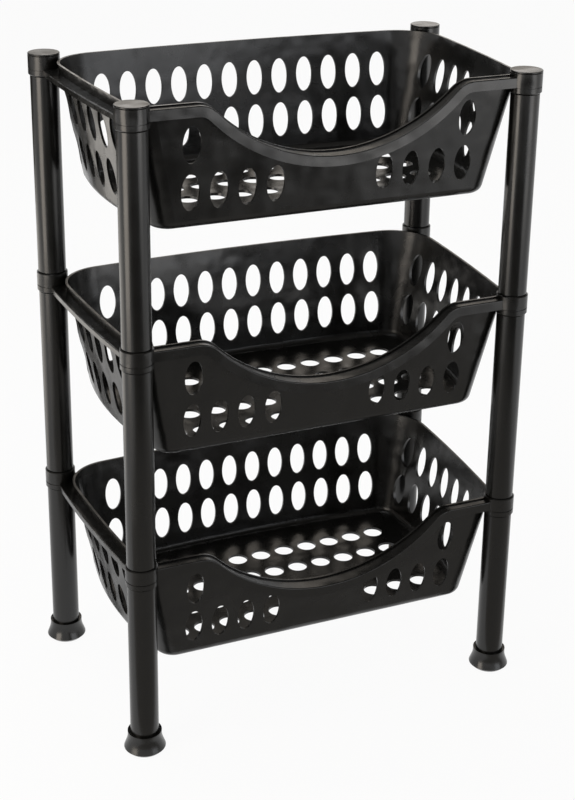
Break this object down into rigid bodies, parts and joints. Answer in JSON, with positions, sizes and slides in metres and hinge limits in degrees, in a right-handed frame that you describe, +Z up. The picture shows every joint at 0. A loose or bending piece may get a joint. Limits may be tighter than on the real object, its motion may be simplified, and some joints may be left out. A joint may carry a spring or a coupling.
{
  "type": "tiered fruit stand",
  "caption": "Tiered fruit stand: perforated scoop-front baskets stacked between push-fit tube posts that stand on flared feet.",
  "frame": {"origin": "on the floor, midway between the four posts", "axes": "+Z up, the scooped fronts face -Y, +X to the right seen from the front"},
  "size_m": [0.4406, 0.2596, 0.6262],
  "materials": {
    "basket": "satin black moulded polypropylene",
    "tube": "semi-gloss black extruded plastic",
    "foot": "semi-gloss black moulded plastic",
    "cap": "semi-gloss black moulded plastic"
  },
  "bodies": {
    "base": {"basket_bottom": "basket", "foot_front_left": "foot", "leg_front_left": "tube", "middle_post_front_left": "tube", "foot_front_right": "foot", "leg_front_right": "tube", "middle_post_front_right": "tube", "foot_rear_left": "foot", "leg_rear_left": "tube", "middle_post_rear_left": "tube", "foot_rear_right": "foot", "leg_rear_right": "tube", "middle_post_rear_right": "tube"},
    "middle_tier": {"basket_middle": "basket", "upper_post_front_left": "tube", "upper_post_front_right": "tube", "upper_post_rear_left": "tube", "upper_post_rear_right": "tube"},
    "top_tier": {"basket_top": "basket", "cap_front_left": "cap", "cap_front_right": "cap", "cap_rear_left": "cap", "cap_rear_right": "cap"}
  },
  "joints": [
    {"name": "middle_tier_lift", "type": "slide", "parent": "base", "child": "middle_tier", "axis": [0, 0, 1], "range_m": [0, 0.025]},
    {"name": "top_tier_lift", "type": "slide", "parent": "middle_tier", "child": "top_tier", "axis": [0, 0, 1], "range_m": [0, 0.025]}
  ]
}
